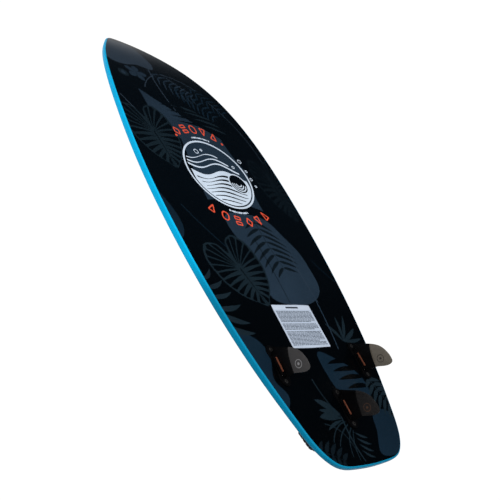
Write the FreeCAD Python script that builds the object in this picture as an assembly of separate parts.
# Wakesurf board with three lever-locked surf fins. Its deck has foam traction, an arch bar and a kick.
#
# Millimetres. +X points to the nose, +Y to port and +Z up through the deck. The origin is on the flat of
# the bottom, halfway along the board. The fins hang below the bottom, towards -Z.
import FreeCAD, Part
import math
import os

from FreeCAD import Placement, Rotation, Vector

# ---- Outline, on the widest line of the rail ----
HALF_LENGTH = 713.0
NOSE_RADIUS = 31.0
NOSE_HALF_ANGLE = 45.0
# Stations (x, half width) from behind the nose to the tail's corner; the tail's end is at -HALF_LENGTH.
STATIONS = [
    (640, 80.5), (560, 138.5), (440, 196), (280, 237), (90, 257.8), (-110, 258.5),
    (-300, 243), (-470, 213), (-600, 177), (-668, 148), (-700, 114), (-711, 58),
]

# ---- Rocker and thickness ----
FLAT_FRONT = 60.0          # the bottom is a plane between these two places
FLAT_REAR = -200.0
NOSE_ROCKER = 102.4
NOSE_POWER = 3.44
TAIL_ROCKER = 3.9
TAIL_POWER = 1.9
MID_THICKNESS = 33.5       # on the centreline
NOSE_THICKNESS = 12.0
TAIL_THICKNESS = 16.0
NOSE_THICKNESS_POWER = 2.0
TAIL_THICKNESS_POWER = 2.45
DECK_CROWN = 14.0          # how far the deck falls from its centreline to CROWN_HALF_WIDTH
CROWN_HALF_WIDTH = 256.0
SURFACE_MARGIN = 45.0      # how far the working surfaces run past the outline
SURFACE_SPANS = 9          # spans of each rocker curve
SLOPE_STEP = 0.1

# ---- Rail and skins ----
BEVEL = 3.0
TOP_ROUND = 7.0
RAIL_WIDTH = 12.0
SKIN = 2.0
BOTTOM_SKIN_INSET = 3.4
DECK_SKIN_INSET = 8.5
STRINGER_WIDTH = 6.0
STICKER_THICKNESS = 0.25
STICKER_CENTRE_X = -363.0
STICKER_LENGTH = 116.0
STICKER_WIDTH = 140.0
STICKER_CORNER = 2.0

# ---- Fins: name, x, y, toe-in and cant in degrees ----
FINS = [
    ("port", -462.5, 152.4, -1.5, 3.0),
    ("starboard", -462.5, -152.4, 1.5, -3.0),
    ("centre", -578.0, 0.0, 0.0, 0.0),
]
FIN_RECESS = 1.0           # depth of a fin base's seat in the bottom
BLOCK_LENGTH = 124.0
BLOCK_WIDTH = 56.0
BLOCK_CORNER = 10.0

# Fin base. Along its chord +X is forward, Y is sideways, and its outer face is the plane z = -FLANGE_FACE.
LOBE_RADIUS = 16.0
LOBE_X = 34.0
WAIST_HALF_WIDTH = 11.0
FLANGE_FACE = 3.0
FLANGE_EDGE_ROUND = 1.2
COLLAR_FACE = 9.0
COLLAR_HALF_WIDTH = 7.6
WALL = 3.4
TONGUE_REAR = -27.0
TONGUE_FRONT = 27.0
TONGUE_HALF_WIDTH = 4.0
TONGUE_DEPTH = 13.0
TONGUE_CORNER = 3.0
SOCKET_CLEARANCE = 0.3
SOCKET_FLOOR = 1.5
END_FLAT = 0.4             # straight stretch left between the round corners of a slot's end

# Latch lever, on the starboard side of every fin base
LEVER_REAR = -21.0
LEVER_FRONT = 14.0
LEVER_END_GAP = 0.5
PIN_Y = -7.1
PIN_DEPTH = 5.4
PIN_RADIUS = 1.0
PIN_RUNNING_CLEARANCE = 0.05
BARREL_RADIUS = 2.6
TAB_THICKNESS = 2.3
TAB_TIP = 13.4
LIP_HEIGHT = 1.6
LIP_DEPTH = 1.2
EAR_LENGTH = 5.5
EAR_OUTER_Y = -10.2
EAR_ROUND = 2.5
POCKET_OUTER_Y = -12.5
POCKET_DEPTH = 2.0

# Fin: height below the bottom, trailing edge x, leading edge x, thickness
FIN_SECTIONS = [
    (9.3, -34.0, 42.0, 9.0), (20, -35.0, 34.5, 8.4), (32, -37.5, 27.0, 7.6), (45, -44.0, 18.5, 6.4),
    (58, -50.0, 8.0, 5.0), (68, -51.5, -4.0, 3.8), (74, -49.5, -18.0, 2.8), (76.5, -45.0, -29.0, 2.2),
]
# Foil, as shares (back along the chord, half thickness)
FOIL = [(0, 0), (0.04, 0.42), (0.14, 0.78), (0.34, 1.0), (0.62, 0.8), (0.86, 0.44), (1.0, 0.2)]
SHOULDER_HALF_WIDTH = 6.2
SHOULDER_HEIGHT = 2.6
# The seam between a fin's opaque root and its clear tip, as (x, height) on an arc
SEAM = [(24.0, 49.5), (-10.0, 37.4), (-60.0, 26.5)]

# Screws and inserts
SCREW_X = 39.0
SCREW_RADIUS = 2.5
SCREW_END = 13.0
HEAD_RADIUS = 5.4
HEAD_HEIGHT = 2.4
HEAD_ROUND = 1.2
HEAD_SEAT_RADIUS = 5.8
KEY_ACROSS_FLATS = 4.0
KEY_DEPTH = 1.6
INSERT_RADIUS = 4.5
INSERT_LENGTH = 12.0
INSERT_TOP = 2.5

# ---- Traction ----
PAD_THICKNESS = 5.0
PAD_GAP = 6.0
PAD_CORNER = 18.0
CENTRE_PAD_HALF_WIDTH = 55.0
FRONT_PAD = (70.0, 400.0)
FRONT_PAD_INSET = 40.0
FRONT_PAD_REACH = 600.0    # the inset edge is only wanted well inside the nose and the tail
TAIL_PAD = (-593.0, -425.0)
TAIL_PAD_INSET = 19.0
KICK = (-670.0, -598.0)
KICK_CREST_X = -634.0
KICK_CREST_Z = 44.0
KICK_SLOPE = -0.05
KICK_CROWN = 9.5           # fall from the centreline to KICK_CROWN_HALF_WIDTH
KICK_CROWN_HALF_WIDTH = 150.0
KICK_FRONT_ANGLE = 68.0
KICK_REAR_ANGLE = 35.0
ARCH_CENTRE_X = -505.0
ARCH_LENGTH = 122.0
ARCH_WIDTH = 36.0
ARCH_HEIGHT = 8.0
ARCH_CORNER = 15.0
ARCH_ROUND = 6.0

FAR = 400.0                # longer than any cut needs
OVERLAP = 1.0              # how far joined or cut shapes run into each other
RIM_TOLERANCE = 0.4        # an edge this near a surface belongs to it
TINY = 1e-6


def bottom_height(x):
    """Height of the bottom above its flat, by the rocker."""
    if x > FLAT_FRONT:
        return NOSE_ROCKER * ((x - FLAT_FRONT) / (HALF_LENGTH - FLAT_FRONT)) ** NOSE_POWER
    if x < FLAT_REAR:
        return TAIL_ROCKER * ((FLAT_REAR - x) / (HALF_LENGTH + FLAT_REAR)) ** TAIL_POWER
    return 0.0


def centre_thickness(x):
    """Thickness of the board on its centreline."""
    if x > 0:
        end, power = NOSE_THICKNESS, NOSE_THICKNESS_POWER
    else:
        end, power = TAIL_THICKNESS, TAIL_THICKNESS_POWER
    return end + (MID_THICKNESS - end) * (1 - abs(x / HALF_LENGTH) ** power)


def deck_height(x, y):
    """Height of the deck."""
    return bottom_height(x) + centre_thickness(x) - DECK_CROWN * (y / CROWN_HALF_WIDTH) ** 2


def kick_height(x, y):
    """Height of the kick's top."""
    crown = KICK_CROWN * (y / KICK_CROWN_HALF_WIDTH) ** 2
    return KICK_CREST_Z + KICK_SLOPE * (x - KICK_CREST_X) - crown


def spline(points, start=None, end=None):
    """Edge of a spline through points, with its end directions where they are given."""
    curve = Part.BSplineCurve()
    if start is None:
        curve.interpolate(Points=points)
    else:
        curve.interpolate(Points=points, InitialTangent=start, FinalTangent=end)
    return curve.toShape()


def arc(a, b, c):
    return Part.Arc(a, b, c).toShape()


def line(a, b):
    return Part.LineSegment(a, b).toShape()


def extruded(wire, direction):
    """Solid made by extruding the face that a closed wire bounds."""
    return Part.Face(wire).extrude(direction)


def box(x0, x1, y0, y1, z0, z1):
    return Part.makeBox(x1 - x0, y1 - y0, z1 - z0, Vector(x0, y0, z0))


def moved(shape, dz):
    """Copy of shape, dz higher."""
    copy = shape.copy()
    copy.translate(Vector(0, 0, dz))
    return copy


def single(shape):
    """The one solid of a shape."""
    solids = shape.Solids
    if len(solids) != 1:
        raise ValueError(f"expected one solid, and there are {len(solids)}")
    return solids[0]


def outline_wire():
    """The board's plan outline, one closed spline: a round nose, full sides and a squash tail."""
    port = []
    for share in (0.5, 1.0):
        turn = math.radians(NOSE_HALF_ANGLE * share)
        x = HALF_LENGTH - NOSE_RADIUS * (1 - math.cos(turn))
        port.append((x, NOSE_RADIUS * math.sin(turn)))
    port += STATIONS
    loop = [(HALF_LENGTH, 0)] + port + [(-HALF_LENGTH, 0)] + [(x, -y) for x, y in reversed(port)]
    curve = Part.BSplineCurve()
    curve.interpolate(Points=[Vector(x, y, 0) for x, y in loop], PeriodicFlag=True)
    return Part.Wire([curve.toShape()])


def inset_wire(outline, inset, reach=HALF_LENGTH):
    """The outline moved inward by inset, using only its places within reach of the middle."""
    curve = outline.Edges[0].Curve
    knots = curve.getKnots()
    points = []
    for here, after in zip(knots, knots[1:]):
        for share in (0, 1 / 3, 2 / 3):
            place = here + (after - here) * share
            along = curve.tangent(place)[0]
            point = curve.value(place)
            if abs(point.x) <= reach:
                points.append(point + Vector(-along.y, along.x, 0) * inset)
    inner = Part.BSplineCurve()
    inner.interpolate(Points=points, PeriodicFlag=True)
    return Part.Wire([inner.toShape()])


def upright(wire):
    """Tall prism on a plan outline, through the whole board."""
    flat = wire.copy()
    flat.translate(Vector(0, 0, -FAR / 2))
    return extruded(flat, Vector(0, 0, FAR))


def above_bottom():
    """Everything over the bottom's surface."""
    half = CROWN_HALF_WIDTH + SURFACE_MARGIN
    nose_end = HALF_LENGTH + SURFACE_MARGIN
    shares = [i / SURFACE_SPANS for i in range(SURFACE_SPANS + 1)]
    nose = [FLAT_FRONT + (nose_end - FLAT_FRONT) * share for share in shares]
    tail = [FLAT_REAR - (nose_end + FLAT_REAR) * share for share in shares]
    nose_points = [Vector(x, -half, bottom_height(x)) for x in nose]
    tail_points = [Vector(x, -half, bottom_height(x)) for x in tail]

    def leaving(x, step):
        return Vector(step, 0, bottom_height(x + step) - bottom_height(x)).normalize()

    top_front = Vector(nose_end, -half, FAR)
    top_rear = Vector(-nose_end, -half, FAR)
    edges = [
        spline(nose_points, Vector(1, 0, 0), leaving(nose[-1], SLOPE_STEP)),
        line(nose_points[-1], top_front),
        line(top_front, top_rear),
        line(top_rear, tail_points[-1]),
        spline(tail_points, Vector(-1, 0, 0), leaving(tail[-1], -SLOPE_STEP)),
        line(tail_points[0], nose_points[0]),
    ]
    return extruded(Part.Wire(Part.__sortEdges__(edges)), Vector(0, 2 * half, 0))


def below(height, x0, x1, half, x_steps=14, y_steps=4):
    """Everything under the smooth surface z = height(x, y)."""
    rows = []
    for i in range(x_steps + 1):
        x = x0 + (x1 - x0) * i / x_steps
        ys = [half * (2 * j / y_steps - 1) for j in range(y_steps + 1)]
        rows.append([Vector(x, y, height(x, y)) for y in ys])
    surface = Part.BSplineSurface()
    surface.interpolate(rows)
    return surface.toShape().extrude(Vector(0, 0, -FAR))


def rim_edges(solid, outline, height):
    """Edges of a solid whose middle is over the outline and on the surface z = height(x, y)."""
    found = []
    for edge in solid.Edges:
        middle = edge.valueAt((edge.FirstParameter + edge.LastParameter) / 2)
        flat = Part.Vertex(Vector(middle.x, middle.y, 0))
        over_rim = flat.distToShape(outline)[0] < RIM_TOLERANCE
        if over_rim and abs(middle.z - height(middle.x, middle.y)) < RIM_TOLERANCE:
            found.append(edge)
    return found


def board_envelope(outline, over_bottom, under_deck):
    """The whole board's outer shape, with a rounded upper edge and a bevelled lower edge."""
    raw = single(upright(outline).common(over_bottom).common(under_deck))
    rounded = raw.makeFillet(TOP_ROUND, rim_edges(raw, outline, deck_height))
    lower = rim_edges(rounded, outline, lambda x, y: bottom_height(x))
    return single(rounded.makeChamfer(BEVEL, lower))


def rounded_rectangle(x0, x1, y0, y1, radius, z=0.0):
    """Closed wire of a rectangle with round corners."""
    plate = box(x0, x1, y0, y1, z, z + OVERLAP)
    corners = [e for e in plate.Edges if abs(e.Vertexes[0].Z - e.Vertexes[1].Z) > TINY]
    plate = plate.makeFillet(radius, corners)
    lowest = [f for f in plate.Faces if abs(f.CenterOfMass.z - z) < TINY]
    return lowest[0].OuterWire


def placed(shape, fin):
    """Copy of a shape made in the fin base's own frame, set where that fin is on the board."""
    _, x, y, toe, _ = fin
    copy = shape.copy()
    copy.Placement = Placement(Vector(x, y, bottom_height(x)), Rotation(Vector(0, 0, 1), toe))
    return copy


def lobed_wire(z):
    """Outline of the fin base's flange: two round lobes joined through a narrower waist."""
    reach = LOBE_X**2 + WAIST_HALF_WIDTH**2 - LOBE_RADIUS**2
    waist_radius = reach / (2 * (LOBE_RADIUS - WAIST_HALF_WIDTH))
    centre_y = WAIST_HALF_WIDTH + waist_radius
    share = LOBE_RADIUS / (LOBE_RADIUS + waist_radius)
    meet_x = LOBE_X * (1 - share)
    meet_y = centre_y * share
    end_x = LOBE_X + LOBE_RADIUS
    corner = {(i, j): Vector(i * meet_x, j * meet_y, z) for i in (-1, 1) for j in (-1, 1)}
    edges = [
        arc(corner[1, -1], Vector(end_x, 0, z), corner[1, 1]),
        arc(corner[1, 1], Vector(0, WAIST_HALF_WIDTH, z), corner[-1, 1]),
        arc(corner[-1, 1], Vector(-end_x, 0, z), corner[-1, -1]),
        arc(corner[-1, -1], Vector(0, -WAIST_HALF_WIDTH, z), corner[1, -1]),
    ]
    return Part.Wire(Part.__sortEdges__(edges))


def slot_prism(grow, z0, z1):
    """Prism on the fin tongue's plan, grown sideways by grow."""
    half = TONGUE_HALF_WIDTH + grow
    radius = min(TONGUE_CORNER + grow, half - END_FLAT / 2)
    wire = rounded_rectangle(TONGUE_REAR - grow, TONGUE_FRONT + grow, -half, half, radius, z0)
    return extruded(wire, Vector(0, 0, z1 - z0))


def socket_prism():
    """Outer shape of the socket that goes up into the board."""
    return slot_prism(WALL, -FIN_RECESS, TONGUE_DEPTH + SOCKET_CLEARANCE + SOCKET_FLOOR)


def pin_rod(radius, x0, x1):
    return Part.makeCylinder(radius, x1 - x0, Vector(x0, PIN_Y, -PIN_DEPTH), Vector(1, 0, 0))


def screw_rod(radius, z0, z1, side):
    return Part.makeCylinder(radius, z1 - z0, Vector(side * SCREW_X, 0, z0))


def fin_base():
    """Moulded base: lobed flange, collar, socket and the ears that hold the lever's pin."""
    flange = extruded(lobed_wire(-FLANGE_FACE), Vector(0, 0, FLANGE_FACE + FIN_RECESS))
    rim = [e for e in flange.Edges if all(abs(v.Z + FLANGE_FACE) < TINY for v in e.Vertexes)]
    flange = flange.makeFillet(FLANGE_EDGE_ROUND, rim)
    collar = slot_prism(COLLAR_HALF_WIDTH - TONGUE_HALF_WIDTH, -COLLAR_FACE, -FLANGE_FACE + OVERLAP)
    base = flange.fuse(collar).fuse(socket_prism())
    ear_top = -FLANGE_FACE + OVERLAP
    for x0 in (LEVER_REAR - LEVER_END_GAP - EAR_LENGTH, LEVER_FRONT + LEVER_END_GAP):
        ear = box(x0, x0 + EAR_LENGTH, EAR_OUTER_Y, -TONGUE_HALF_WIDTH - OVERLAP, -COLLAR_FACE, ear_top)
        tip = [
            e for e in ear.Edges
            if all(abs(v.Y - EAR_OUTER_Y) < TINY and abs(v.Z + COLLAR_FACE) < TINY for v in e.Vertexes)
        ]
        base = base.fuse(ear.makeFillet(EAR_ROUND, tip))
    cavity = slot_prism(SOCKET_CLEARANCE, -FAR / 2, TONGUE_DEPTH + SOCKET_CLEARANCE)
    window = box(
        LEVER_REAR - LEVER_END_GAP, LEVER_FRONT + LEVER_END_GAP,
        POCKET_OUTER_Y, -TONGUE_HALF_WIDTH, -FAR / 2, -POCKET_DEPTH,
    )
    base = base.cut(cavity).cut(window)
    base = base.cut(pin_rod(PIN_RADIUS, LEVER_REAR - FAR / 2, LEVER_FRONT + FAR / 2))
    for side in (-1, 1):
        seat = screw_rod(HEAD_SEAT_RADIUS, -FAR / 2, -FLANGE_FACE + HEAD_HEIGHT, side)
        base = base.cut(seat).cut(screw_rod(SCREW_RADIUS, -FAR / 2, FAR / 2, side))
    return single(base.removeSplitter())


def latch_lever():
    """Flat lever on a barrel that turns on its pin; its tab stands beside the fin's root."""
    barrel = pin_rod(BARREL_RADIUS, LEVER_REAR, LEVER_FRONT)
    outer = PIN_Y - TAB_THICKNESS
    tab = box(LEVER_REAR, LEVER_FRONT, outer, outer + TAB_THICKNESS, -TAB_TIP, -PIN_DEPTH)
    lip_root = outer + OVERLAP
    lip = box(LEVER_REAR, LEVER_FRONT, outer - LIP_DEPTH, lip_root, -TAB_TIP, -TAB_TIP + LIP_HEIGHT)
    lever = barrel.fuse(tab).fuse(lip)
    bore_radius = PIN_RADIUS + PIN_RUNNING_CLEARANCE
    lever = lever.cut(pin_rod(bore_radius, LEVER_REAR - OVERLAP, LEVER_FRONT + OVERLAP))
    return single(lever.removeSplitter())


def latch_pin():
    reach = LEVER_END_GAP + EAR_LENGTH
    return pin_rod(PIN_RADIUS, LEVER_REAR - reach, LEVER_FRONT + reach)


def base_screw(side):
    """Button-head screw with a hexagon socket."""
    head = screw_rod(HEAD_RADIUS, -FLANGE_FACE, -FLANGE_FACE + HEAD_HEIGHT, side)
    rim = [e for e in head.Edges if abs(e.BoundBox.ZMax + FLANGE_FACE) < TINY]
    head = head.makeFillet(HEAD_ROUND, rim)
    corner = KEY_ACROSS_FLATS / math.sqrt(3)
    turns = [math.radians(60 * i) for i in range(7)]
    points = [
        Vector(side * SCREW_X + corner * math.cos(a), corner * math.sin(a), -FLANGE_FACE) for a in turns
    ]
    key = extruded(Part.makePolygon(points), Vector(0, 0, KEY_DEPTH))
    shank = screw_rod(SCREW_RADIUS, -FLANGE_FACE + HEAD_HEIGHT, SCREW_END, side)
    return single(head.cut(key).fuse(shank))


def threaded_insert(side):
    ring = screw_rod(INSERT_RADIUS, INSERT_TOP, INSERT_TOP + INSERT_LENGTH, side)
    return ring.cut(screw_rod(SCREW_RADIUS, 0, SCREW_END, side))


def fin_section(height, trailing, leading, thickness):
    """Closed foil wire across the fin at one height: a spline round the nose, and a blunt trailing edge."""
    chord = leading - trailing
    half = thickness / 2
    port = [Vector(leading - back * chord, wide * half, -height) for back, wide in FOIL]
    starboard = [Vector(p.x, -p.y, p.z) for p in port]
    points = port[::-1] + starboard[1:]
    return Part.Wire([spline(points), line(points[-1], points[0])])


def fin_blade(cant):
    """The foil, leaning outward by its cant."""
    blade = Part.makeLoft([fin_section(*row) for row in FIN_SECTIONS], True, False)
    blade.rotate(Vector(0, 0, -FIN_SECTIONS[0][0]), Vector(1, 0, 0), cant)
    return blade


def seam_prism():
    """Everything on the board's side of the seam between root and tip."""
    front, middle, rear = [Vector(x, -FAR / 4, -height) for x, height in SEAM]
    top_front = Vector(front.x + FAR, -FAR / 4, front.z)
    top = [Vector(front.x + FAR, -FAR / 4, FAR), Vector(rear.x - FAR, -FAR / 4, FAR)]
    low_rear = Vector(rear.x - FAR, -FAR / 4, rear.z)
    edges = [
        arc(front, middle, rear), line(rear, low_rear), line(low_rear, top[1]),
        line(top[1], top[0]), line(top[0], top_front), line(top_front, front),
    ]
    return extruded(Part.Wire(Part.__sortEdges__(edges)), Vector(0, FAR / 2, 0))


def fin_root(cant):
    """Opaque root: tongue, shoulder and the lower part of the foil."""
    first = FIN_SECTIONS[0][0]
    tongue = slot_prism(0, -first - OVERLAP, TONGUE_DEPTH)
    shoulder_grow = SHOULDER_HALF_WIDTH - TONGUE_HALF_WIDTH
    shoulder = slot_prism(shoulder_grow, -first - SHOULDER_HEIGHT, -first)
    lower = fin_blade(cant).common(seam_prism())
    return single(lower.fuse(shoulder).fuse(tongue))


def fin_tip(cant):
    return single(fin_blade(cant).cut(seam_prism()))


def pad(plan, under_deck):
    """Foam sheet of even thickness on the deck, on a plan given as a prism."""
    return single(plan.common(moved(under_deck, PAD_THICKNESS)).cut(under_deck))


def pad_rows(span, edge_prism, under_deck):
    """Port, centre and starboard pads between two x places."""
    far = CROWN_HALF_WIDTH + SURFACE_MARGIN
    inner = CENTRE_PAD_HALF_WIDTH + PAD_GAP
    strips = {
        "port": (inner, far),
        "centre": (-CENTRE_PAD_HALF_WIDTH, CENTRE_PAD_HALF_WIDTH),
        "starboard": (-far, -inner),
    }
    pads = {}
    for name, (y0, y1) in strips.items():
        plan = upright(rounded_rectangle(span[0], span[1], y0, y1, PAD_CORNER)).common(edge_prism)
        pads[name] = pad(plan, under_deck)
    return pads


def kick(edge_prism, under_deck):
    """Foam kick across the tail: a steep face forward, a nearly level crest and a ramp back."""
    far = CROWN_HALF_WIDTH
    under_top = below(kick_height, KICK[0] - SURFACE_MARGIN, KICK[1] + SURFACE_MARGIN, far, 4, 4)
    plan = box(KICK[0], KICK[1], -far, far, 0, FAR).common(edge_prism)
    body = plan.common(under_top).cut(under_deck)
    foot = deck_height(KICK[1], 0) - DECK_CROWN / 2
    for x, way, angle in ((KICK[1], 1, KICK_FRONT_ANGLE), (KICK[0], -1, KICK_REAR_ANGLE)):
        lean = FAR / math.tan(math.radians(angle))
        foot_point = Vector(x, -far, foot)
        above = Vector(x - way * lean, -far, foot + FAR)
        outside = Vector(x + way * FAR, -far, foot)
        wedge = Part.makePolygon([foot_point, above, outside, foot_point])
        body = body.cut(extruded(wedge, Vector(0, 2 * far, 0)))
    return single(body)


def arch_bar(under_deck):
    """Low pillow along the middle of the tail pad."""
    top = deck_height(ARCH_CENTRE_X, 0) + PAD_THICKNESS + ARCH_HEIGHT
    x0 = ARCH_CENTRE_X - ARCH_LENGTH / 2
    half = ARCH_WIDTH / 2
    plan = rounded_rectangle(x0, x0 + ARCH_LENGTH, -half, half, ARCH_CORNER, top - 2 * ARCH_HEIGHT)
    block = extruded(plan, Vector(0, 0, 2 * ARCH_HEIGHT))
    rim = [e for e in block.Edges if all(abs(v.Z - top) < TINY for v in e.Vertexes)]
    return single(block.makeFillet(ARCH_ROUND, rim).cut(moved(under_deck, PAD_THICKNESS)))


def sticker(over_bottom):
    """Thin information sticker on the bottom."""
    x0 = STICKER_CENTRE_X - STICKER_LENGTH / 2
    half = STICKER_WIDTH / 2
    plan = upright(rounded_rectangle(x0, x0 + STICKER_LENGTH, -half, half, STICKER_CORNER))
    return single(plan.common(moved(over_bottom, -STICKER_THICKNESS)).cut(over_bottom))


def fin_hardware():
    """All the pieces at the three fins, by node name."""
    nodes = {}
    for fin in FINS:
        name, cant = fin[0], fin[4]
        nodes[f"fin_base_{name}"] = placed(fin_base(), fin)
        nodes[f"fin_root_{name}"] = placed(fin_root(cant), fin)
        nodes[f"fin_tip_{name}"] = placed(fin_tip(cant), fin)
        nodes[f"latch_lever_{name}"] = placed(latch_lever(), fin)
        nodes[f"latch_pin_{name}"] = placed(latch_pin(), fin)
    ends = [(fin, side) for fin in FINS for side in (-1, 1)]
    nodes["base_screws"] = Part.makeCompound([placed(base_screw(s), f) for f, s in ends])
    nodes["threaded_inserts"] = Part.makeCompound([placed(threaded_insert(s), f) for f, s in ends])
    return nodes


def fin_pockets(fin):
    """What a fin base, its screws and its inserts take out of the board."""
    flange = extruded(lobed_wire(-FLANGE_FACE), Vector(0, 0, FLANGE_FACE + FIN_RECESS))
    pocket = flange.fuse(socket_prism())
    for side in (-1, 1):
        pocket = pocket.fuse(screw_rod(SCREW_RADIUS, 0, SCREW_END, side))
        pocket = pocket.fuse(screw_rod(INSERT_RADIUS, INSERT_TOP, INSERT_TOP + INSERT_LENGTH, side))
    return placed(pocket, fin)


def board_structure(over_bottom, under_deck):
    """Skins, rail, foam core, stringer and the hard foam blocks around the fin bases."""
    outline = outline_wire()
    outer = board_envelope(outline, over_bottom, under_deck)
    within_rail = upright(inset_wire(outline, RAIL_WIDTH))
    bottom_plan = upright(inset_wire(outline, BOTTOM_SKIN_INSET))
    deck_plan = upright(inset_wire(outline, DECK_SKIN_INSET))
    under_core = bottom_plan.cut(moved(over_bottom, SKIN))
    over_core = deck_plan.cut(moved(under_deck, -SKIN))
    rail = single(outer.cut(within_rail).cut(under_core).cut(over_core))
    bottom_skin = under_core.common(over_bottom)
    deck_skin = single(over_core.common(under_deck))
    core = within_rail.common(moved(over_bottom, SKIN)).common(moved(under_deck, -SKIN))

    half_length = BLOCK_LENGTH / 2
    half_width = BLOCK_WIDTH / 2
    block_plan = rounded_rectangle(-half_length, half_length, -half_width, half_width, BLOCK_CORNER)
    pockets = [fin_pockets(fin) for fin in FINS]
    nodes = {}
    for fin, pocket in zip(FINS, pockets):
        prism = placed(upright(block_plan), fin)
        nodes[f"fin_block_{fin[0]}"] = single(core.common(prism).cut(pocket))
        core = core.cut(prism)
        bottom_skin = bottom_skin.cut(pocket)
    half = STRINGER_WIDTH / 2
    far = HALF_LENGTH + SURFACE_MARGIN
    nodes["stringer"] = core.common(box(-far, far, -half, half, -FAR, FAR))
    nodes["foam_core_port"] = single(core.common(box(-far, far, half, FAR, -FAR, FAR)))
    nodes["foam_core_starboard"] = single(core.common(box(-far, far, -FAR, -half, -FAR, FAR)))
    nodes["bottom_skin"] = single(bottom_skin)
    nodes["deck_skin"] = deck_skin
    nodes["rail"] = rail
    return nodes


def traction(under_deck):
    """Every foam piece on the deck, by node name."""
    outline = outline_wire()
    nodes = {}
    front_edge = upright(inset_wire(outline, FRONT_PAD_INSET, FRONT_PAD_REACH))
    tail_edge = upright(inset_wire(outline, TAIL_PAD_INSET))
    for name, shape in pad_rows(FRONT_PAD, front_edge, under_deck).items():
        nodes[f"front_pad_{name}"] = shape
    for name, shape in pad_rows(TAIL_PAD, tail_edge, under_deck).items():
        nodes[f"tail_pad_{name}"] = shape
    nodes["kick"] = kick(tail_edge, under_deck)
    nodes["arch_bar"] = arch_bar(under_deck)
    return nodes


def main():
    over_bottom = above_bottom()
    length = HALF_LENGTH + SURFACE_MARGIN
    under_deck = below(deck_height, -length, length, CROWN_HALF_WIDTH + SURFACE_MARGIN)
    nodes = board_structure(over_bottom, under_deck)
    nodes.update(fin_hardware())
    nodes.update(traction(under_deck))
    nodes["info_sticker"] = sticker(over_bottom)
    os.makedirs("parts", exist_ok=True)
    for name, shape in nodes.items():
        if not shape.isValid():
            raise ValueError(f"{name} is not valid")
        shape.exportStep(f"parts/{name}.step")
        print(f"{name}: {len(shape.Solids)} solid(s), {shape.Volume / 1000:.1f} cm3")


main()
